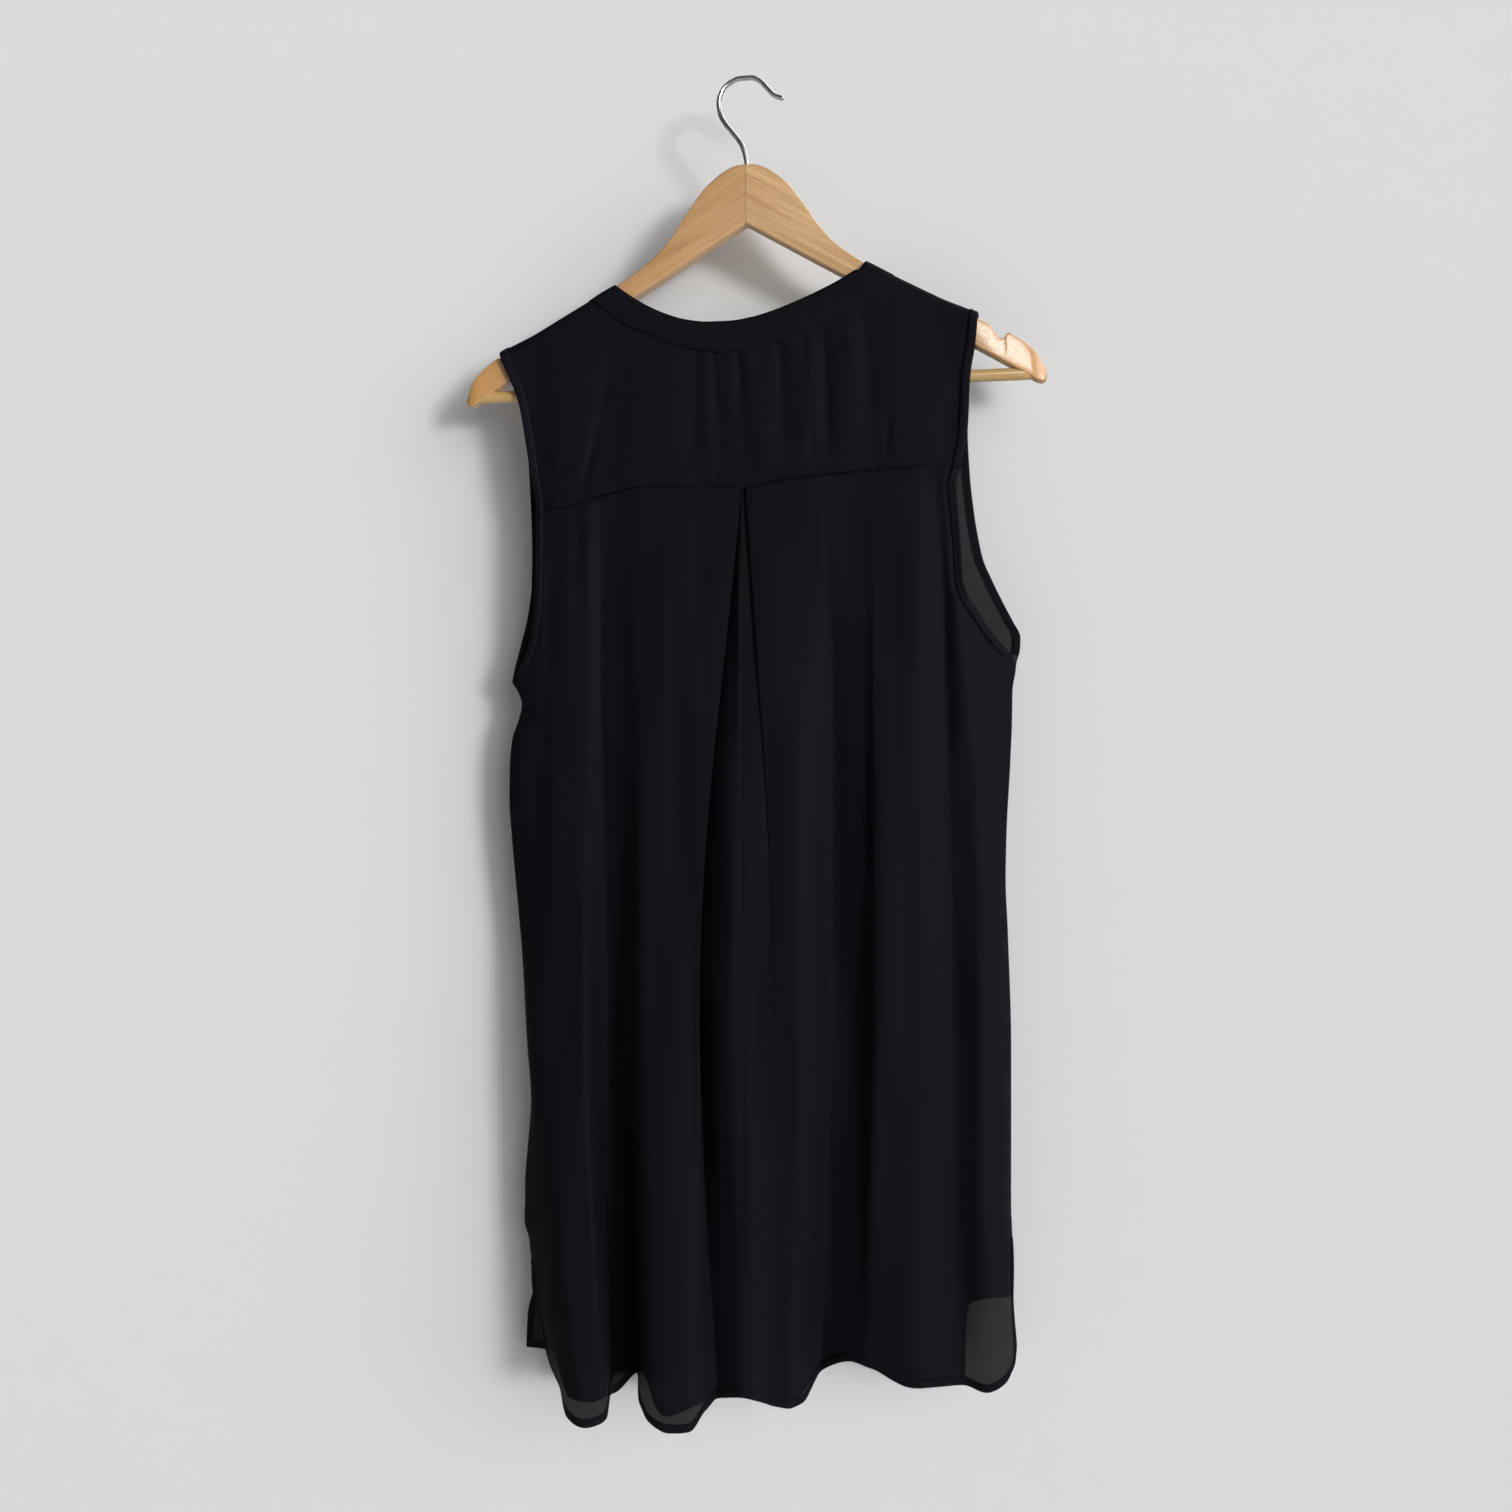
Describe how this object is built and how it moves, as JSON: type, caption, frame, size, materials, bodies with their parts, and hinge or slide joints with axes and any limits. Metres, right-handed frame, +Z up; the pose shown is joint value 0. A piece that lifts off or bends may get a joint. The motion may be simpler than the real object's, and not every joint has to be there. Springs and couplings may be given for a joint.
{
  "type": "blouse on hanger",
  "caption": "Sleeveless long blouse of sheer black crepe with a back yoke, box pleat and banded neck, hung on a wooden hanger with a wire hook.",
  "frame": {"origin": "seat of the hanger's hook: the inner top of its bend, on the wire's middle plane, where a rail or a peg carries it", "axes": "+Z up, -Y towards the back of the blouse, +Y towards its front, +X towards the wearer's right"},
  "size_m": [0.4446, 0.0902, 1.0063],
  "materials": {
    "crepe": "matte sheer crepe, near black",
    "binding": "matte crepe, turned double",
    "wood": "clear gloss lacquer",
    "chrome": "polished"
  },
  "bodies": {
    "root": {"back_yoke": "crepe", "back_panel": "crepe", "front_panel": "crepe", "neckband": "crepe", "armhole_binding_left": "binding", "armhole_binding_right": "binding", "hanger_arm_left": "wood", "hanger_arm_right": "wood", "hanger_bar": "wood", "hanger_hook": "chrome"}
  },
  "joints": []
}
